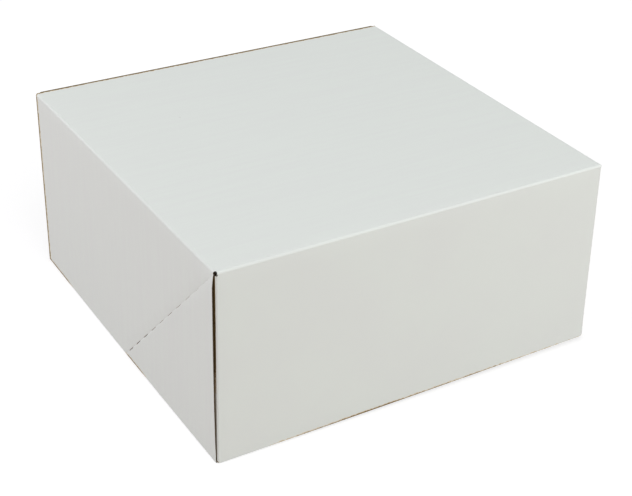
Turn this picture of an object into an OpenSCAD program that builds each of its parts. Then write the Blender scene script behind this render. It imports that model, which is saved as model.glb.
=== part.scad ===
// One-piece cake box of thin white board, cut flat, folded and glued at its corners.
// A square tray carries the cake. The lid is hinged along the top of the tray's back
// wall and has a front flap and two side flaps that cover the tray down to the table.
// Millimetres, box closed, +Z up. The front faces -Y and the hinge is at the back.
// The origin is the middle of the footprint, on the surface that the box stands on.

/* [Tray] */
// Width of the tray between its side walls
tray_w = 254; // [150:1:400]
// Length of the tray between its front and back walls
tray_l = 254; // [150:1:400]
// Height of the closed box
box_h = 124; // [60:1:200]

/* [Board] */
// Thickness of the board
board_t = 0.6; // [0.4:0.05:0.9]
// Inside radius of a fold
fold_in = 0.9; // [0.5:0.1:1.5]

/* [Play between tray and lid] */
// Play between a side wall of the tray and the glue tab inside the lid's side flap
side_play = 0.5; // [0.3:0.1:2]
// Play between the tray's front wall and the lid's front flap
front_play = 1.8; // [1:0.1:4]
// Play between the free edges of the tray and the underside of the lid
top_play = 0.8; // [0.4:0.1:3]
// Height of the lower edges of the lid's flaps above the table
flap_lift = 0.8; // [0.4:0.1:10]
// Distance from the back face of the box to the back edges of the lid's side flaps
flap_setback = 1; // [0.8:0.1:10]
// Gap between the hinge fold and the back edge of the lid's top panel
hinge_gap = 0.25; // [0.25:0.05:0.5]

/* [Glued corners] */
// Width of a glue tab, from its fold to its free edge
tab_w = 24; // [10:1:40]
// Angle at which a tab is cut back beside the corner crease
tab_crease_cut = 50; // [47:1:60]
// Angle at which a tab is cut back at its free end
tab_end_cut = 8; // [0:1:20]
// Height of the relief at the corner, between a tab's fold and the panel's fold
corner_relief = 0.8; // [0.4:0.1:3]
// Distance from a tab's free end to the free edge of its panel
tab_end_gap = 0.8; // [0.2:0.1:5]
// Distance from the face of an end panel to the raw edge of the side panel beside it
edge_setback = 1; // [0.3:0.1:3]

/* [Corner creases] */
// Angle between a corner crease and the long fold below it
crease_angle = 43.8; // [42:0.1:45]
// Height at which a corner crease starts on the edge of its panel
crease_start = 2.3; // [1:0.1:6]
// Width of the groove that a crease leaves on the outside
crease_w = 1.2; // [0.6:0.1:2]
// Depth of that groove
crease_depth = 0.1; // [0.05:0.05:0.2]
// Length of one cut in a corner crease
cut_len = 8; // [3:0.5:12]
// Length of the crease left whole between two cuts
tie_len = 9.2; // [3:0.1:15]
// Width of a cut
cut_w = 0.3; // [0.15:0.05:0.5]
// Length of crease left whole at the panel's free edge
edge_tie = 6.4; // [2:0.1:15]
// Shortest length of crease left whole at the corner
corner_tie = 8; // [4:0.5:20]

/* [Hidden] */

board_white = "#f2f2ef";
fold_out = fold_in + board_t;
// A cut through the board starts this far outside it and ends this far inside it
cut_over = 0.1;

// Tray: outer half width, outer length, front and back faces, height of its free edges
tray_half_w = tray_w / 2 + board_t;
tray_out_l = tray_l + 2 * board_t;
box_l = tray_out_l + front_play + board_t;
tray_back = box_l / 2;
tray_front = tray_back - tray_out_l;
tray_h = box_h - board_t - top_play;

// Lid: outer half width, front face and height of its flaps
lid_half_w = tray_half_w + side_play + 2 * board_t;
lid_front = -box_l / 2;
lid_h = box_h - flap_lift;

// Hinge: the middle of the board where the back wall and the top panel meet
hinge_y = tray_back - board_t / 2;
hinge_z = box_h - board_t / 2;
lid_panel_back = hinge_y - board_t / 2 - hinge_gap;
lid_flap_back = tray_back - flap_setback;

// Half the straight width of an end panel that ends in tabs inside the side panels
function end_half_w(half_w) = half_w - board_t - fold_out;

// Quarter section of a fold, towards +X and +Y from its centre line
module fold_section() {
    intersection() {
        difference() {
            circle(r = fold_out, $fn = 48);
            circle(r = fold_in, $fn = 48);
        }
        square(fold_out);
    }
}

// Fold between a floor on z = 0 and a wall with its outer face on x = 0, along +Y
module floor_fold(len) {
    translate([-fold_out, len, fold_out])
        rotate([90, 0, 0])
            linear_extrude(len)
                mirror([0, 1]) fold_section();
}

// Cuts of a corner crease that runs along +Y from the corner, through x = 0
module crease_cuts(len) {
    pitch = cut_len + tie_len;
    last = floor((len - edge_tie - cut_len - corner_tie) / pitch);
    for (i = [0 : last])
        translate([-board_t - cut_over, len - edge_tie - cut_len - i * pitch, -cut_w / 2])
            cube([board_t + 2 * cut_over, cut_len, cut_w]);
}

// Groove and cuts of a corner crease on a wall with its outer face on x = 0,
// rising from the corner at y = 0 to the height h, or over the length reach
module corner_crease(h, reach) {
    rise_len = (h - crease_start) / sin(crease_angle);
    len = min(rise_len, reach / cos(crease_angle));
    start = corner_tie / 2;
    translate([0, 0, crease_start]) rotate([crease_angle, 0, 0]) {
        translate([-crease_depth, start, -crease_w / 2])
            cube([crease_depth + cut_over, len - start, crease_w]);
        crease_cuts(len);
    }
}

// Side panel with its outer face on x = 0, standing on a floor on z = 0. The floor
// fold runs from y = fold_a to fold_b, and the panel itself from wall_a to wall_b
module side_panel(h, fold_a, fold_b, wall_a, wall_b) {
    translate([0, fold_a, 0]) floor_fold(fold_b - fold_a);
    translate([-board_t, wall_a, fold_out])
        cube([board_t, wall_b - wall_a, h - fold_out]);
}

// Glue tab with its fold, at the +X end of an end panel with its outer face on y = 0
module glue_tab(half_w, h) {
    low = fold_out + corner_relief;
    high = h - tab_end_gap;
    translate([half_w, -fold_out, low])
        linear_extrude(high - low) fold_section();
    translate([half_w + fold_in, -fold_out, 0])
        rotate([90, 0, 90])
            linear_extrude(board_t)
                polygon([
                    [0, low],
                    [0, high],
                    [-tab_w, high - tab_w * tan(tab_end_cut)],
                    [-tab_w, low + tab_w * tan(tab_crease_cut)]
                ]);
}

// End panel with its outer face on y = 0, standing on a floor on z = 0, with its two
// tabs. The panel is h high, and its tabs end below tab_h
module end_panel(half_w, h, tab_h) {
    rotate([0, 0, 90]) translate([0, -half_w, 0]) floor_fold(2 * half_w);
    translate([-half_w, -board_t, fold_out])
        cube([2 * half_w, board_t, h - fold_out]);
    for (side = [0, 1])
        mirror([side, 0, 0]) glue_tab(half_w, tab_h);
}

// Rounded edge in which the back wall ends, on the hinge line along X
module hinge_fold(half_w) {
    translate([-half_w, 0, 0])
        rotate([90, 0, 90])
            linear_extrude(2 * half_w)
                intersection() {
                    circle(d = board_t, $fn = 32);
                    translate([-board_t / 2, 0]) square([board_t, board_t / 2]);
                }
}

// Tray: floor, front, back and side walls, four glued corners
module tray() {
    end_w = end_half_w(tray_half_w);
    fold_a = tray_front + fold_out;
    fold_b = tray_back - fold_out;
    crease_reach = tray_out_l / 2 - crease_w;
    color(board_white) {
        translate([fold_out - tray_half_w, fold_a, 0])
            cube([2 * (tray_half_w - fold_out), fold_b - fold_a, board_t]);
        for (side = [0, 1]) mirror([side, 0, 0])
            difference() {
                translate([tray_half_w, 0, 0])
                    side_panel(tray_h, fold_a, fold_b,
                        tray_front + edge_setback, tray_back - edge_setback);
                translate([tray_half_w, tray_front, 0])
                    corner_crease(tray_h, crease_reach);
                translate([tray_half_w, tray_back, 0])
                    mirror([0, 1, 0]) corner_crease(tray_h, crease_reach);
            }
        translate([0, tray_front, 0])
            mirror([0, 1, 0]) end_panel(end_w, tray_h, tray_h);
        translate([0, tray_back, 0]) end_panel(end_w, hinge_z, tray_h);
        translate([0, hinge_y, hinge_z]) hinge_fold(end_w);
    }
}

// Lid: top panel, front flap, two side flaps, two glued corners. It is drawn standing
// on its top panel and turned over
module lid() {
    end_w = end_half_w(lid_half_w);
    fold_a = lid_front + fold_out;
    color(board_white)
        translate([0, 0, box_h]) mirror([0, 0, 1]) {
            translate([fold_out - lid_half_w, fold_a, 0])
                cube([2 * (lid_half_w - fold_out), lid_panel_back - fold_a, board_t]);
            for (side = [0, 1]) mirror([side, 0, 0])
                difference() {
                    translate([lid_half_w, 0, 0])
                        side_panel(lid_h, fold_a, lid_panel_back,
                            lid_front + edge_setback, lid_flap_back);
                    translate([lid_half_w, lid_front, 0])
                        corner_crease(lid_h, lid_flap_back - lid_front - crease_w);
                }
            translate([0, lid_front, 0])
                mirror([0, 1, 0]) end_panel(end_w, lid_h, lid_h);
        }
}

tray();
lid();
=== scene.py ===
"""Looks of a one-piece cake box of clay-coated board, built round its packed construction.

Each of the two bodies is one folded blank. A blank is laid out as the outer face of the
board, patch by patch, and then gets its thickness, its creases and its perforations.
Lengths are in millimetres until a finished mesh is turned to metres.
"""

import math
from types import SimpleNamespace

import bmesh
import bpy
import numpy as np
from mathutils import Matrix, Vector


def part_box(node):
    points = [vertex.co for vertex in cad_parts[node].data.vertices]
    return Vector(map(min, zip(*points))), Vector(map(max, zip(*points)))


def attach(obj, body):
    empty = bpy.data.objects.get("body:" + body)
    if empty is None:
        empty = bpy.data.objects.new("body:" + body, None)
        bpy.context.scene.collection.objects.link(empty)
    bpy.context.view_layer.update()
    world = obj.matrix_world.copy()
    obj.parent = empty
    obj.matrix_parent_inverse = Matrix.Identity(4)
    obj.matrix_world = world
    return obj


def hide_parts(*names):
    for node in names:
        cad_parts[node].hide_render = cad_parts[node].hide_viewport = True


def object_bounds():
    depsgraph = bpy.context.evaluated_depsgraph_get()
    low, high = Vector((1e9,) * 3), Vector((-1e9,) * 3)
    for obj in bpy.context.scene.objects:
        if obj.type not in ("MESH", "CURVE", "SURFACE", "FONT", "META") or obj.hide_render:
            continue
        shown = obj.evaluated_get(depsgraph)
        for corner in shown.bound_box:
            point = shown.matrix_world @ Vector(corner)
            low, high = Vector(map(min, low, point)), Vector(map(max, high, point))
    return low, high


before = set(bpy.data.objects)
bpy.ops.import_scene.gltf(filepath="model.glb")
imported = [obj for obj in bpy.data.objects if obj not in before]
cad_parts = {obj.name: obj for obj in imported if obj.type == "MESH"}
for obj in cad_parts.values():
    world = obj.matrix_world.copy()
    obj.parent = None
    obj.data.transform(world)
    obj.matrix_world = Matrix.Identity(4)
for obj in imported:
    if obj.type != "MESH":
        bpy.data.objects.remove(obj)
cad_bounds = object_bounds()

MM = 0.001

# Board and folds
BOARD = 0.6
FOLD = 1.5
FOLD_STEPS = 8
GRID_STEP = 8.0
SHOULDER_W = 1.2
SHOULDER_DEPTH = 0.05

# Distances below which points of a blank are welded, before and after its creases are
# pressed, and a length that is too small to matter
WELD = 0.002
CREASED_WELD = 0.02
NEAR = 1e-4

# Corner creases with their perforations
CREASE_ANGLE = math.radians(44.7)
CREASE_START = 0.2
CREASE_W = 1.2
CREASE_DEPTH = 0.12
CUT_LEN = 8.0
CUT_PITCH = 16.5
CUT_EDGE_TIE = 7.8
CUT_CORNER_TIE = 8.0
CUT_OPEN = 0.42
CUT_CLOSED = 0.03
CUT_SEED = 3

# Glued corners
TAB_W = 24.0
TAB_CREASE_CUT = math.radians(50)
TAB_END_CUT = math.radians(8)
TAB_RELIEF = 0.8
TAB_END_GAP = 0.2
TAB_CLEAR = 0.05
TAB_FOLD = 1.05
SPRING_RISE = 6.0
SPRING_REACH = 30.0

# Ball that cuts the hole of an open corner, and how far its middle lies outside the place
# where the three folds' middles meet: sideways, forwards and towards the main panel
HOLE_R = 1.3
HOLE_OUT = (0.8, 0.45, 0.45)


def glued_corner(setback, spring=0.0, closed=False):
    """How well a side wall meets the end wall's tab at a corner. The setback is from the end
    wall's face to the raw edge, beside the main panel and at the free edge. The spring is how
    far the raw edge stands out from its wall, and a closed corner has no hole at its top."""
    return SimpleNamespace(setback=setback, spring=spring, closed=closed)


LEFT, RIGHT = -1, 1
LID_CORNERS = {
    LEFT: glued_corner((1.8, 1.2), spring=1.0),
    RIGHT: glued_corner((2.2, 1.2), closed=True),
}
TRAY_CORNERS = {LEFT: glued_corner((1.0, 1.0)), RIGHT: glued_corner((1.0, 1.0))}

# Play above the tray's free edges
TOP_PLAY = 0.8

# Widths of the worn bands in which the brown board shows beside a raw edge
WORN_HINGE = 2.5
WORN_BACK = 4.5
WORN_LOW = 2.0
WORN_TRAY = 0.4
WEAR_LINES = (0.3, 0.8, 1.4, 2.2, 4.5)

# How worn the lower edges of the lid's flaps are, at places along X and along Y
FRONT_WEAR = (
    (-113, 0.0), (-85, 0.6), (-57, 0.8), (-29, 1.15), (0, 0.8), (57, 0.7), (113, 0.45),
)
SIDE_WEAR = (
    (-38, 0.0), (-28, 0.9), (-8, 1.1), (0, 0.0), (75, 0.0), (88, 0.6), (98, 1.1), (128, 1.2),
)

# Wear, with the fray of its noise added, at which the coating looks thin and at which the
# brown board is bare, how far each of the two steps runs on, and the most wear that counts
THIN_FROM = 0.8
BARE_FROM = 1.0
WEAR_STEP = 0.2
WEAR_MOST = 1.2

# Shares of the flap's height between which the brown on a sprung tab sets in, and height
# and width of the dark spot at the lower end of its fold. The brown is partly fibres pulled
# from the flap and partly painted shade in the gap behind the flap's raw edge; the spot is
# painted shade.
TORN_SHADE_RISE = (0.25, 0.6)
TORN_SHADE_END = (1.0, 0.35)

# A fleck in the coating of the top panel
FLECK_AT = (-63.4, 50.2, 124.0)
FLECK_R = 0.7

# How far each corner of the real box is from square: along X, along Y and up
LEAN = {
    "back_left_top": (-0.2, 0.0, 0.0),
    "back_right_top": (1.1, 0.0, 0.0),
    "front_right_top": (-0.9, 0.7, -0.2),
    "front_left_top": (0.6, -0.6, -0.5),
    "back_left_low": (-0.9, 0.1, -0.6),
    "back_right_low": (0.8, 0.0, 0.0),
    "front_left_low": (-0.7, -0.3, -0.5),
    "front_right_low": (0.8, 0.9, 1.6),
}
FLAP_BULGE = 0.5
TOP_CROWN = 0.5
SHARP_FROM = math.radians(30)

# Colours, as sRGB
COATED_WHITE = "#DDE2DD"
COATED_SHADE = "#DCE0DC"
FLECK = "#B9B8B4"
KRAFT_FACE = "#B28E62"
KRAFT_DARK = "#8F6E47"
WORN_THIN = "#D8CCB2"
WORN_PALE = "#8C7848"
WORN_BROWN = "#6C5732"
# Raw-edge browns, darker than the board's own: painted shade for the slit of a sprung corner.
EDGE_BROWN_AND_SHADE = "#33281B"
EDGE_PALE_AND_SHADE = "#5F523A"


def linear(code):
    """Linear RGBA of an sRGB hex colour."""
    parts = [int(code[i : i + 2], 16) / 255 for i in (1, 3, 5)]
    return [c / 12.92 if c <= 0.04045 else ((c + 0.055) / 1.055) ** 2.4 for c in parts] + [1]


def box_mm(node):
    """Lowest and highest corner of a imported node, in millimetres."""
    low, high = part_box(node)
    return low / MM, high / MM


def add_node(tree, kind, settings=None, inputs=None):
    """A node with its settings, and with its inputs linked to sockets or set to values."""
    node = tree.nodes.new(kind)
    for name, value in (settings or {}).items():
        setattr(node, name, value)
    for name, value in (inputs or {}).items():
        if isinstance(value, bpy.types.NodeSocket):
            tree.links.new(value, node.inputs[name])
        else:
            node.inputs[name].default_value = value
    return node


# Outer faces of the folded blanks


def spread(low, high, near_low=(), near_high=(), also=()):
    """Grid lines from low to high, a step apart, with more near the ends and at given places."""
    count = max(1, round((high - low) / GRID_STEP))
    lines = [*np.linspace(low, high, count + 1), *also]
    lines += [low + d for d in near_low] + [high - d for d in near_high]
    return np.unique(np.round([v for v in lines if low <= v <= high], 3))


def shoulder(distance, *others):
    """Dent of the board beside a fold, at a distance from where the fold ends. It runs out
    towards the other folds, whose distances follow."""
    inside = (distance > 0) & (distance < SHOULDER_W)
    dent = np.where(inside, SHOULDER_DEPTH * np.sin(math.pi * distance / SHOULDER_W) ** 2, 0)
    for other in others:
        dent = dent * np.clip(other / SHOULDER_W, 0, 1)
    return dent


class Blank:
    """Outer face of one folded blank, standing on its main panel with the walls up."""

    shoulder_lines = tuple(np.linspace(0, SHOULDER_W, 5)[1:])
    angles = np.linspace(0, math.pi / 2, FOLD_STEPS + 1)
    # Columns of a tab's grid, by their distance from its fold
    tab_columns = (0, *shoulder_lines, 2.5, 4, 7, 10, 14, 19, TAB_W)

    def __init__(self, half_w, front, back, height, corners, back_top=None):
        self.half_w, self.front, self.back = half_w, front, back
        self.height, self.corners, self.back_top = height, corners, back_top
        self.lid = back_top is None
        self.points, self.faces = [], []
        self.fold_x = half_w - FOLD
        self.fold_a = front + FOLD
        self.fold_b = back if self.lid else back - FOLD
        self.end_w = half_w - BOARD - TAB_CLEAR - TAB_FOLD
        near_back = WEAR_LINES if self.lid else self.shoulder_lines
        self.xs = spread(-self.fold_x, self.fold_x, self.shoulder_lines, self.shoulder_lines)
        self.ys = spread(self.fold_a, self.fold_b, self.shoulder_lines, near_back)

    def patch(self, x, y, z):
        """Adds a grid of points, given as arrays that broadcast to rows by columns."""
        x, y, z = np.broadcast_arrays(x, y, z)
        rows, columns = x.shape
        first = len(self.points)
        self.points.extend(np.stack([x, y, z], -1).reshape(-1, 3).tolist())
        for r in range(rows - 1):
            for c in range(columns - 1):
                i = first + r * columns + c
                self.faces.append((i, i + 1, i + columns + 1, i + columns))

    def main_panel(self):
        x, y = np.meshgrid(self.xs, self.ys)
        aside, front, back = self.fold_x - abs(x), y - self.fold_a, self.fold_b - y
        if self.lid:
            dent = shoulder(aside, front) + shoulder(front, aside)
        else:
            dent = shoulder(aside, front, back) + shoulder(front, aside) + shoulder(back, aside)
        self.patch(x, y, dent)

    def side_wall(self, side):
        """The fold beside the main panel and the wall that rises from it."""
        corner = self.corners[side]
        a = self.angles[:, None]
        rise = FOLD - FOLD * np.cos(a)
        self.patch(side * (self.fold_x + FOLD * np.sin(a)), self.ys[None, :], rise)
        z = spread(FOLD, self.height, self.shoulder_lines, WEAR_LINES)[:, None]
        setback = np.interp(z, [FOLD, self.height], corner.setback)
        setback = np.where(z > FOLD, setback, np.minimum(setback, FOLD))
        shift = np.maximum(setback - FOLD, 0)
        near_corner = np.clip(1 - (self.ys[None, :] - self.fold_a) / GRID_STEP, 0, 1)
        y = self.ys[None, :] + shift * near_corner
        edge_y = self.front + setback
        share = np.linspace(0, 1, 3)[None, :]
        for wall_y in (y, edge_y + (y[:, :1] - edge_y) * share):
            out = self.half_w - shoulder(z - FOLD) + self.sprung(corner, wall_y, z)
            self.patch(side * out, wall_y, z)
        if not self.lid:
            edge_y = self.back - setback
            wall_y = edge_y + (self.fold_b - edge_y) * share
            self.patch(side * (self.half_w - shoulder(z - FOLD)), wall_y, z)

    def sprung(self, corner, y, z):
        """How far a point of a side wall stands out where its raw edge has sprung from the tab."""
        down = np.clip((z - FOLD) / SPRING_RISE, 0, 1) * (1 - (z / self.height) ** 4)
        return corner.spring * down * np.clip(1 - (y - self.front) / SPRING_REACH, 0, 1) ** 2

    def end_wall(self, face_y, inward, top):
        """An end fold, the wall that rises from it and the wall's two glue tabs."""
        a = self.angles[:, None]
        fold_y = face_y + inward * (FOLD - FOLD * np.sin(a))
        self.patch(self.xs[None, :], fold_y, FOLD - FOLD * np.cos(a))
        lows = {s: FOLD + (TAB_CLEAR if c.closed else TAB_RELIEF) for s, c in self.corners.items()}
        high = self.height - TAB_END_GAP
        z = spread(FOLD, top, self.shoulder_lines, WEAR_LINES, (*lows.values(), high))
        x, zz = np.meshgrid(self.xs, z)
        beside_tab = (abs(x) > self.fold_x - GRID_STEP / 2) & (zz > FOLD)
        x = x - np.sign(x) * (self.fold_x - self.end_w) * beside_tab
        above, aside = zz - FOLD, self.end_w - abs(x)
        self.patch(x, face_y + inward * (shoulder(above, aside) + shoulder(aside, above)), zz)
        for side, low in lows.items():
            self.glue_tab(side, face_y, inward, z[(z >= low) & (z <= high)][:, None])
            if self.corners[side].closed:
                self.corner_cap(side, face_y, inward)

    def glue_tab(self, side, face_y, inward, z):
        """A tab with its fold, which stands on the end wall's edge over the heights z."""
        a = self.angles[None, :]
        wrap_x = side * (self.end_w + TAB_FOLD * np.sin(a))
        self.patch(wrap_x, face_y + inward * (TAB_FOLD - TAB_FOLD * np.cos(a)), z)
        out = np.array(self.tab_columns)[None, :]
        low, high = z[0], z[-1]
        tab_low = low + out * math.tan(TAB_CREASE_CUT)
        tab_high = high - out * math.tan(TAB_END_CUT)
        x = side * (self.half_w - BOARD - TAB_CLEAR - shoulder(out))
        share = (z - low) / (high - low)
        self.patch(x, face_y + inward * (TAB_FOLD + out), tab_low + (tab_high - tab_low) * share)

    def corner_cap(self, side, face_y, inward):
        """Board pressed round a corner where the two folds meet, with no hole between them."""
        a, b = self.angles[:, None], self.angles[None, :]
        x = side * (self.fold_x + FOLD * np.sin(a) * np.cos(b))
        y = face_y + inward * (FOLD - FOLD * np.sin(a) * np.sin(b))
        self.patch(x, y, FOLD - FOLD * np.cos(a))

    def build(self):
        self.main_panel()
        for side in self.corners:
            self.side_wall(side)
        self.end_wall(self.front, 1, self.height)
        if not self.lid:
            self.end_wall(self.back, -1, self.back_top)
        return self


def crease_frames(blank):
    """Place of each corner crease: its side, its starting end and the sense in which it runs."""
    ends = [(blank.front, 1)] if blank.lid else [(blank.front, 1), (blank.back, -1)]
    return [(side, end, sense) for side in (-1, 1) for end, sense in ends]


def press_creases(bm, blank):
    """Presses the groove of each corner crease into the side walls."""
    half = CREASE_W / 2
    wall = blank.half_w - SHOULDER_DEPTH * 2

    def on_side_wall(v):
        return abs(v.co.x) > wall and v.co.z > FOLD - NEAR

    for end, sense in {(end, sense) for _, end, sense in crease_frames(blank)}:
        across = Vector((0, -sense * math.sin(CREASE_ANGLE), math.cos(CREASE_ANGLE)))
        start = Vector((0, end, CREASE_START))
        for offset in (-half, -half / 2, 0, half / 2, half):
            faces = [f for f in bm.faces if all(on_side_wall(v) for v in f.verts)]
            edges = {e for f in faces for e in f.edges}
            points = {v for f in faces for v in f.verts}
            bmesh.ops.bisect_plane(
                bm, geom=[*points, *edges, *faces], dist=NEAR,
                plane_co=start + across * offset, plane_no=across,
            )
        for v in bm.verts:
            distance = (v.co - start).dot(across)
            if on_side_wall(v) and abs(distance) < half:
                dent = CREASE_DEPTH * math.cos(math.pi * distance / CREASE_W) ** 2
                v.co.x -= math.copysign(dent, v.co.x)


def blank_mesh(name, blank, materials):
    """The outer face of a blank as one welded mesh whose faces point out of the box."""
    mesh = bpy.data.meshes.new(name)
    mesh.from_pydata(blank.points, [], blank.faces)
    bm = bmesh.new()
    bm.from_mesh(mesh)
    bmesh.ops.remove_doubles(bm, verts=bm.verts, dist=WELD)
    bmesh.ops.recalc_face_normals(bm, faces=bm.faces)
    middle = min(bm.faces, key=lambda f: f.calc_center_median().length)
    if middle.normal.z > 0:
        bmesh.ops.reverse_faces(bm, faces=bm.faces)
    press_creases(bm, blank)
    bmesh.ops.remove_doubles(bm, verts=bm.verts, dist=CREASED_WELD)
    bm.to_mesh(mesh)
    bm.free()
    for material in materials:
        mesh.materials.append(material)
    return mesh


# Perforations and corner holes


def perforation_tree():
    """Row of knives along +Y that cut one corner crease, each a thin block across the board."""
    tree = bpy.data.node_groups.new("perforation_knives", "GeometryNodeTree")
    for name, kind, value in (
        ("Cuts", "NodeSocketInt", 9),
        ("First cut", "NodeSocketFloat", 20.0),
        ("Pitch", "NodeSocketFloat", CUT_PITCH),
        ("Cut length", "NodeSocketFloat", CUT_LEN),
        ("Width at the corner", "NodeSocketFloat", CUT_CLOSED),
        ("Width at the free edge", "NodeSocketFloat", CUT_OPEN),
        ("Depth", "NodeSocketFloat", 3 * BOARD),
        ("Seed", "NodeSocketInt", 1),
        ("Cut board", "NodeSocketMaterial", None),
    ):
        socket = tree.interface.new_socket(name, in_out="INPUT", socket_type=kind)
        if value is not None:
            socket.default_value = value
    tree.interface.new_socket("Knives", in_out="OUTPUT", socket_type="NodeSocketGeometry")
    given = add_node(tree, "NodeGroupInput").outputs
    first = add_node(tree, "ShaderNodeCombineXYZ", None, {"Y": given["First cut"]})
    step = add_node(tree, "ShaderNodeCombineXYZ", None, {"Y": given["Pitch"]})
    row = add_node(tree, "GeometryNodeMeshLine", {"mode": "OFFSET"}, {
        "Count": given["Cuts"], "Start Location": first.outputs[0], "Offset": step.outputs[0],
    })
    knife_size = add_node(tree, "ShaderNodeCombineXYZ", None, {
        "X": given["Depth"], "Y": given["Cut length"], "Z": 1.0,
    })
    knife = add_node(tree, "GeometryNodeMeshCube", None, {"Size": knife_size.outputs[0]})
    index = add_node(tree, "GeometryNodeInputIndex")
    last = add_node(tree, "ShaderNodeMath", {"operation": "SUBTRACT"}, {0: given["Cuts"], 1: 1.0})
    width = add_node(tree, "ShaderNodeMapRange", None, {
        "Value": index.outputs[0], "From Max": last.outputs[0],
        "To Min": given["Width at the corner"], "To Max": given["Width at the free edge"],
    })
    spring = add_node(tree, "FunctionNodeRandomValue", {"data_type": "FLOAT"}, {
        "Min": 0.75, "Max": 1.2, "Seed": given["Seed"],
    })
    opened = add_node(tree, "ShaderNodeMath", {"operation": "MULTIPLY"}, {
        0: width.outputs[0], 1: spring.outputs["Value"],
    })
    scale = add_node(tree, "ShaderNodeCombineXYZ", None, {
        "X": 1.0, "Y": 1.0, "Z": opened.outputs[0],
    })
    knives = add_node(tree, "GeometryNodeInstanceOnPoints", None, {
        "Points": row.outputs[0], "Instance": knife.outputs["Mesh"], "Scale": scale.outputs[0],
    })
    real = add_node(tree, "GeometryNodeRealizeInstances", None, {"Geometry": knives.outputs[0]})
    edge = add_node(tree, "GeometryNodeSetMaterial", None, {
        "Geometry": real.outputs[0], "Material": given["Cut board"],
    })
    add_node(tree, "NodeGroupOutput", None, {"Knives": edge.outputs[0]})
    return tree


def set_input(modifier, name, value):
    """Sets a Geometry Nodes input by its socket's identifier."""
    for item in modifier.node_group.interface.items_tree:
        if item.item_type == "SOCKET" and item.in_out == "INPUT" and item.name == name:
            modifier[item.identifier] = value


def evaluated_mesh(obj):
    """Plain mesh of an object with its modifiers applied."""
    bpy.context.view_layer.update()
    depsgraph = bpy.context.evaluated_depsgraph_get()
    return bpy.data.meshes.new_from_object(obj.evaluated_get(depsgraph), depsgraph=depsgraph)


def hold(name, mesh):
    """A new object for a mesh, in the scene."""
    obj = bpy.data.objects.new(name, mesh)
    bpy.context.scene.collection.objects.link(obj)
    return obj


def knives_for(blank, tree, material):
    """All the knives that cut one blank, as one mesh: the perforations' and, on the lid, one
    ball for each open corner's hole."""
    length = (blank.height - CREASE_START) / math.sin(CREASE_ANGLE)
    count = int((length - CUT_EDGE_TIE - CUT_LEN - CUT_CORNER_TIE) // CUT_PITCH) + 1
    last_middle = length - CUT_EDGE_TIE - CUT_LEN / 2
    joined = bmesh.new()
    for number, (side, end, sense) in enumerate(crease_frames(blank)):
        maker = hold("knife_row", bpy.data.meshes.new("knife_row"))
        modifier = maker.modifiers.new("perforations", "NODES")
        modifier.node_group = tree
        set_input(modifier, "Cuts", count)
        set_input(modifier, "First cut", last_middle - (count - 1) * CUT_PITCH)
        set_input(modifier, "Seed", number + CUT_SEED)
        set_input(modifier, "Cut board", material)
        row = evaluated_mesh(maker)
        place = Matrix.Translation((side * (blank.half_w - BOARD / 2), end, CREASE_START))
        lean = Matrix.Rotation(CREASE_ANGLE, 4, "X")
        mirror = Matrix.Diagonal((1, sense, 1, 1))
        row.transform(place @ mirror @ lean)
        if sense < 0:
            row.flip_normals()
        joined.from_mesh(row)
        bpy.data.objects.remove(maker)
    for side, corner in blank.corners.items():
        if not blank.lid or corner.closed:
            continue
        out_x, out_y, out_z = HOLE_OUT
        centre = (side * (blank.fold_x + out_x), blank.fold_a - out_y, FOLD - out_z)
        place = Matrix.Translation(centre)
        bmesh.ops.create_icosphere(joined, subdivisions=3, radius=HOLE_R, matrix=place)
    mesh = bpy.data.meshes.new("knives")
    joined.to_mesh(mesh)
    joined.free()
    mesh.materials.append(material)
    return mesh


def cut_board(name, blank, tree, finish):
    """The blank with its thickness and its cuts, still standing on its main panel. The lid's
    board overlaps itself inside its open corner, where the ball cuts it."""
    obj = hold(name, blank_mesh(name, blank, (finish.coated, finish.kraft, finish.edge)))
    wall = obj.modifiers.new("thickness", "SOLIDIFY")
    wall.thickness = BOARD
    wall.offset = -1
    wall.use_even_offset = True
    wall.material_offset = 1
    wall.material_offset_rim = 2
    knives = hold("knives", knives_for(blank, tree, finish.edge))
    cut = obj.modifiers.new("cuts", "BOOLEAN")
    cut.operation = "DIFFERENCE"
    cut.solver = "EXACT"
    cut.material_mode = "TRANSFER"
    cut.use_self = blank.lid
    cut.object = knives
    mesh = evaluated_mesh(obj)
    bpy.data.objects.remove(obj)
    bpy.data.objects.remove(knives)
    return mesh


# Shape and wear of the used box


def lean_of(points, height, lid):
    """Shift of points of the closed box from its square shape: the lean of its corners, the
    bulge of its flaps and the crown of its top. The tray's floor stays on the table."""
    half_x, half_y = cad_bounds[1].x / MM, cad_bounds[1].y / MM
    u = np.clip(points[:, 0] / half_x / 2 + 0.5, 0, 1)
    v = np.clip(points[:, 1] / half_y / 2 + 0.5, 0, 1)
    w = np.clip(points[:, 2] / height, 0, 1)
    shift = np.zeros_like(points)
    for name, amount in LEAN.items():
        share = v if "back" in name else 1 - v
        share = share * (u if "right" in name else 1 - u)
        share = share * (w if "top" in name else 1 - w)
        move = np.array(amount)
        if not lid and "low" in name:
            move[2] = 0
        shift += share[:, None] * move
    out = 2 * u - 1
    free = (1 - w) ** 1.5
    shift[:, 0] += FLAP_BULGE * out**3 * 4 * v * (1 - v) * free
    shift[:, 1] -= FLAP_BULGE * (1 - v) ** 3 * 4 * u * (1 - u) * free
    shift[:, 2] += TOP_CROWN * 16 * u * (1 - u) * v * (1 - v) * w**3
    return shift


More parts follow.
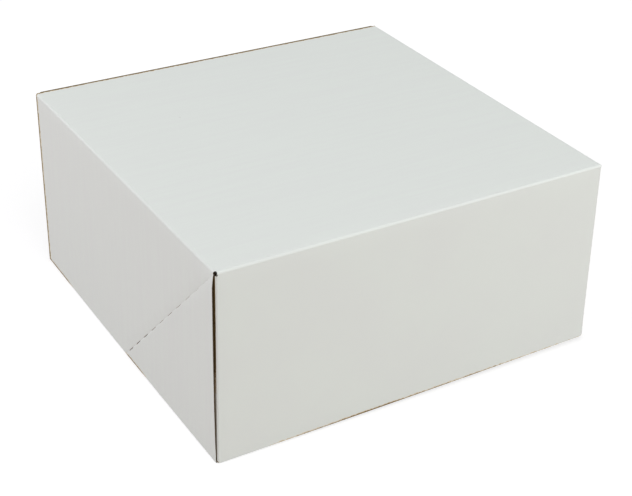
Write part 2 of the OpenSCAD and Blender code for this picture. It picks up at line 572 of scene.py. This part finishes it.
def worn_and_shaded(points, blank, height):
    """How far the board shows brown at each point of the closed box, from 0 to WEAR_MOST: from
    use beside its raw edges, and on a sprung tab from painted shade in the gap behind the flap.
    """
    x, y, z = points.T
    if not blank.lid:
        return np.clip(1 - (blank.height - z) / WORN_TRAY, 0, 1)
    rise = z - (height - blank.height)
    on_front = y < blank.fold_a
    share = np.where(on_front, np.interp(x, *zip(*FRONT_WEAR)), np.interp(y, *zip(*SIDE_WEAR)))
    low = share * (1 - rise / WORN_LOW)
    near_top = z > height - FOLD - 0.01
    back = 1 - (blank.back - y) / np.where(near_top, WORN_HINGE, WORN_BACK)
    # The sprung tab's brown comes in here: partly fibres, partly painted shade in the gap.
    return np.clip(np.maximum.reduce([low, back, torn_and_painted_shade(x, y, rise, blank)]), 0, WEAR_MOST)


def torn_and_painted_shade(x, y, rise, blank):
    """Brown on the tab of a sprung corner: partly fibres of the flap's brown inside that have
    stayed on the tab, and partly painted shade that darkens the gap behind the flap's raw edge.
    A spot at the lower end of the tab's fold is painted shade.
    """
    below_fold = rise < blank.height - FOLD - TAB_CLEAR
    behind = y - blank.front - TAB_FOLD
    set_in = np.interp(rise / blank.height, TORN_SHADE_RISE, (0, 1))
    brown = np.zeros(len(x))
    for side, corner in blank.corners.items():
        depth = blank.half_w - BOARD - TAB_CLEAR - side * x
        on_face = (abs(depth) < 0.1 * TAB_FOLD) & (behind > -0.01) & (behind < TAB_W + 0.01)
        # A spot of painted shade at the lower end of the tab's fold.
        in_spot = (rise < TORN_SHADE_END[0]) & (depth < TORN_SHADE_END[1])
        at_end = in_spot & (depth > -0.01) & (behind < 0.01)
        outside = (depth > -0.02) & below_fold & (corner.spring > 0)
        brown = np.maximum(brown, np.maximum(on_face * set_in, at_end) * outside)
    return brown


def finish_board(name, mesh, blank, height):
    """Turns the lid over, gives the board its used shape, and leaves a plain mesh in metres."""
    count = len(mesh.vertices)
    flat = np.empty(count * 3)
    mesh.vertices.foreach_get("co", flat)
    points = flat.reshape(-1, 3)
    if blank.lid:
        points[:, 2] = height - points[:, 2]
        mesh.flip_normals()
    # This attribute carries use of the edges and, on a sprung tab, painted shade.
    wear_and_shade = mesh.attributes.new("wear_and_shade", "FLOAT", "POINT")
    wear_and_shade.data.foreach_set("value", worn_and_shaded(points, blank, height).astype(np.float32))
    points += lean_of(points, height, blank.lid)
    mesh.vertices.foreach_set("co", (points * MM).ravel())
    mesh.shade_smooth()
    mesh.set_sharp_from_angle(angle=SHARP_FROM)
    mesh.update()
    return hold(name, mesh)


def lid_blank():
    low, high = box_mm("lid")
    return Blank(high.x, low.y, high.y, high.z - low.z, LID_CORNERS).build()


def tray_blank():
    low, high = box_mm("tray")
    free_edges = high.z - BOARD - TOP_PLAY
    return Blank(high.x, low.y, high.y, free_edges, TRAY_CORNERS, back_top=high.z).build()


# Materials


def new_material(name):
    material = bpy.data.materials.new(name)
    material.use_nodes = True
    tree = material.node_tree
    tree.nodes.clear()
    shader = add_node(tree, "ShaderNodeBsdfPrincipled")
    add_node(tree, "ShaderNodeOutputMaterial", None, {"Surface": shader.outputs[0]})
    return material, tree, shader


def mottled(tree, place, size_mm, tones, span=(0.3, 0.7), detail=3.0, roughness=0.6):
    """Colour that wanders between two tones in patches about size_mm across. The span is the
    range of the noise over which the first tone turns into the second."""
    patches = add_node(tree, "ShaderNodeTexNoise", None, {
        "Vector": place, "Scale": 1 / (size_mm * MM), "Detail": detail, "Roughness": roughness,
    })
    share = add_node(tree, "ShaderNodeMapRange", {"interpolation_type": "SMOOTHSTEP"}, {
        "Value": patches.outputs["Fac"], "From Min": span[0], "From Max": span[1],
    })
    return add_node(tree, "ShaderNodeMix", {"data_type": "RGBA"}, {
        "Factor": share.outputs[0], 6: tones[0], 7: tones[1],
    }).outputs[2]


def fibre_relief(tree, place, size_mm, depth_mm, strength):
    """Normal of a face that is uneven from fibres about size_mm across."""
    fibres = add_node(tree, "ShaderNodeTexNoise", None, {
        "Vector": place, "Scale": 1 / (size_mm * MM), "Detail": 3.0, "Roughness": 0.6,
    })
    return add_node(tree, "ShaderNodeBump", None, {
        "Strength": strength, "Distance": depth_mm * MM, "Height": fibres.outputs["Fac"],
    }).outputs[0]


def bared_and_shaded(tree, place, face):
    """Colour of a coated face where use has thinned the coating and then laid the brown board
    open, and where painted shade on a sprung tab darkens the gap behind its flap. The
    attribute says how far, and noise frays the brown part's edge."""
    fibres = mottled(tree, place, 1.0, (linear(WORN_PALE), linear(WORN_BROWN)))
    wear_and_shade = add_node(tree, "ShaderNodeAttribute", {"attribute_name": "wear_and_shade"})
    fray = add_node(tree, "ShaderNodeTexNoise", None, {
        "Vector": place, "Scale": 1 / (2.5 * MM), "Detail": 4.0, "Roughness": 0.7,
    })
    frayed = add_node(tree, "ShaderNodeMath", {"operation": "ADD"}, {
        0: wear_and_shade.outputs["Fac"], 1: fray.outputs["Fac"],
    })
    colour = face
    for tone, start in ((linear(WORN_THIN), THIN_FROM), (fibres, BARE_FROM)):
        share = add_node(tree, "ShaderNodeMapRange", {"interpolation_type": "SMOOTHSTEP"}, {
            "Value": frayed.outputs[0], "From Min": start, "From Max": start + WEAR_STEP,
        })
        colour = add_node(tree, "ShaderNodeMix", {"data_type": "RGBA"}, {
            "Factor": share.outputs[0], 6: colour, 7: tone,
        }).outputs[2]
    return colour


def flecked(tree, place, face):
    """Colour of a face with one fleck of fibre below the coating."""
    distance = add_node(tree, "ShaderNodeVectorMath", {"operation": "DISTANCE"}, {
        0: place, 1: Vector(FLECK_AT) * MM,
    })
    share = add_node(tree, "ShaderNodeMapRange", {"interpolation_type": "SMOOTHSTEP"}, {
        "Value": distance.outputs["Value"], "From Min": FLECK_R * MM, "From Max": 0.0,
    })
    return add_node(tree, "ShaderNodeMix", {"data_type": "RGBA"}, {
        "Factor": share.outputs[0], 6: face, 7: linear(FLECK),
    }).outputs[2]


def coated_board():
    """Clay-coated folding box board, calendered on the white side. It gives a matte white
    face that is faintly streaked along the machine direction, brown where the coating
    has rubbed off beside a raw edge, and brown as painted shade on a sprung tab, in the gap
    behind its flap."""
    material, tree, shader = new_material("clay_coated_board")
    place = add_node(tree, "ShaderNodeTexCoord").outputs["Object"]
    streaks = add_node(tree, "ShaderNodeMapping", None, {
        "Vector": place, "Scale": (0.06, 1.0, 0.06),
    }).outputs[0]
    white = mottled(tree, streaks, 3.0, (linear(COATED_WHITE), linear(COATED_SHADE)))
    colour = bared_and_shaded(tree, place, flecked(tree, place, white))
    tree.links.new(colour, shader.inputs["Base Color"])
    shader.inputs["Roughness"].default_value = 0.62
    shader.inputs["IOR"].default_value = 1.45
    shader.inputs["Specular IOR Level"].default_value = 0.35
    tree.links.new(fibre_relief(tree, place, 0.9, 0.02, 0.15), shader.inputs["Normal"])
    return material


def kraft_liner():
    """Unbleached kraft back of the board, machine glazed. It gives a dull brown face with
    long fibres that lie mostly one way."""
    material, tree, shader = new_material("kraft_liner")
    place = add_node(tree, "ShaderNodeTexCoord").outputs["Object"]
    fibres = add_node(tree, "ShaderNodeMapping", None, {
        "Vector": place, "Scale": (0.25, 1.0, 1.0),
    }).outputs[0]
    tones = (linear(KRAFT_FACE), linear(KRAFT_DARK))
    streaked = mottled(tree, fibres, 1.2, tones, (0.38, 0.68), 4.0)
    colour = mottled(tree, place, 18.0, (streaked, linear(KRAFT_DARK)), (0.3, 1.2), 2.0)
    tree.links.new(colour, shader.inputs["Base Color"])
    shader.inputs["Roughness"].default_value = 0.85
    shader.inputs["IOR"].default_value = 1.45
    shader.inputs["Specular IOR Level"].default_value = 0.25
    tree.links.new(fibre_relief(tree, fibres, 1.2, 0.03, 0.4), shader.inputs["Normal"])
    return material


def shaded_cut_edge():
    """Raw edge of the board, die cut, with painted shade. It gives a line of split plies, with no
    sheen, in browns much darker than the board's own, so that the edge stands in for the shade
    in the slit of a sprung corner."""
    material, tree, shader = new_material("die_cut_board_edge_and_shade")
    place = add_node(tree, "ShaderNodeTexCoord").outputs["Object"]
    layers_and_shade = mottled(tree, place, 0.5, (linear(EDGE_BROWN_AND_SHADE), linear(EDGE_PALE_AND_SHADE)))
    tree.links.new(layers_and_shade, shader.inputs["Base Color"])
    shader.inputs["Roughness"].default_value = 0.95
    shader.inputs["IOR"].default_value = 1.45
    shader.inputs["Specular IOR Level"].default_value = 0.1
    return material


# Floor, lights and camera


def seen_rays(tree):
    """1 for rays of the camera, straight or by way of a reflection, and 0 for light that
    only bounces."""
    rays = add_node(tree, "ShaderNodeLightPath").outputs
    seen = rays["Is Camera Ray"]
    for kind in ("Is Glossy Ray", "Is Transmission Ray"):
        seen = add_node(tree, "ShaderNodeMath", {"operation": "MAXIMUM"}, {
            0: seen, 1: rays[kind],
        }).outputs[0]
    return seen


def floor():
    """A pale floor that shows white where no shadow falls on it. Where light bounces off it,
    it is a dull brown, as the box's sides show."""
    size = 6000 * MM
    shaded_share, shown_white, bounced = 0.45, 1.08, (0.34, 0.28, 0.24, 1)
    mesh = bpy.data.meshes.new("floor")
    corners = [(-size, -size, 0), (size, -size, 0), (size, size, 0), (-size, size, 0)]
    mesh.from_pydata(corners, [], [(0, 1, 2, 3)])
    material = bpy.data.materials.new("painted_floor")
    material.use_nodes = True
    tree = material.node_tree
    tree.nodes.clear()
    paint = add_node(tree, "ShaderNodeBsdfDiffuse", None, {"Color": bounced})
    shaded = add_node(tree, "ShaderNodeBsdfDiffuse", None, {"Color": (shaded_share,) * 3 + (1,)})
    glow = add_node(tree, "ShaderNodeEmission", None, {
        "Color": (1, 1, 1, 1), "Strength": shown_white - shaded_share,
    })
    white = add_node(tree, "ShaderNodeAddShader", None, {0: shaded.outputs[0], 1: glow.outputs[0]})
    surface = add_node(tree, "ShaderNodeMixShader", None, {
        "Fac": seen_rays(tree), 1: paint.outputs[0], 2: white.outputs[0],
    })
    add_node(tree, "ShaderNodeOutputMaterial", None, {"Surface": surface.outputs[0]})
    mesh.materials.append(material)
    obj = hold("floor", mesh)


def studio_world(strength):
    """An even dome of light that shows as white."""
    world = bpy.data.worlds.new("studio")
    bpy.context.scene.world = world
    world.use_nodes = True
    tree = world.node_tree
    tree.nodes.clear()
    dome, white = (
        add_node(tree, "ShaderNodeBackground", None, {"Color": (1, 1, 1, 1), "Strength": shown})
        for shown in (strength, 1.0)
    )
    surface = add_node(tree, "ShaderNodeMixShader", None, {
        "Fac": seen_rays(tree), 1: dome.outputs[0], 2: white.outputs[0],
    })
    add_node(tree, "ShaderNodeOutputWorld", None, {"Surface": surface.outputs[0]})


def softbox(name, place_mm, size_mm, watts, colour=(1, 1, 1)):
    """A square area light, size_mm across, that faces the middle of the box."""
    lamp = bpy.data.lights.new(name, "AREA")
    lamp.shape = "SQUARE"
    lamp.size = size_mm * MM
    lamp.energy = watts
    lamp.color = colour
    obj = bpy.data.objects.new(name, lamp)
    bpy.context.scene.collection.objects.link(obj)
    obj.location = Vector(place_mm) * MM
    aim = Vector((0, 0, 60)) * MM - obj.location
    obj.rotation_euler = aim.to_track_quat("-Z", "Y").to_euler()


def camera():
    """The photograph's view: turned to the left, looking down on the near corner."""
    azimuth, elevation, roll = (math.radians(a) for a in (-30.55, 29.93, 0.965))
    distance, lens = 893.0, 80.31
    target = Vector((-5.1, -21.5, 49.8))
    back = Vector((
        math.sin(azimuth) * math.cos(elevation),
        -math.cos(azimuth) * math.cos(elevation),
        math.sin(elevation),
    ))
    data = bpy.data.cameras.new("photo_view")
    data.sensor_width = 36
    data.lens = lens
    data.clip_start, data.clip_end = 0.05, 50
    obj = bpy.data.objects.new("photo_view", data)
    bpy.context.scene.collection.objects.link(obj)
    obj.location = (target + back * distance) * MM
    level = (-back).to_track_quat("-Z", "Y")
    obj.rotation_mode = "QUATERNION"
    obj.rotation_quaternion = level @ Matrix.Rotation(roll, 3, "Z").to_quaternion()
    bpy.context.scene.camera = obj


camera()
floor()
studio_world(0.545)
softbox("key", (-1200, -7200, 8400), 5000, 226)
softbox("left_fill", (-1400, 350, 700), 900, 9.7, (1.01, 0.98, 1.06))
softbox("right_fill", (1100, -1600, 750), 900, 18.5, (1.0, 1.0, 1.02))

finish = SimpleNamespace(coated=coated_board(), kraft=kraft_liner(), edge=shaded_cut_edge())
knife_tree = perforation_tree()
height = cad_bounds[1].z / MM
for node, blank in (("tray", tray_blank()), ("lid", lid_blank())):
    name = node + "_board"
    piece = finish_board(name, cut_board(name, blank, knife_tree, finish), blank, height)
    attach(piece, node)
    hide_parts(node)

bpy.context.scene.view_settings.view_transform = "Standard"
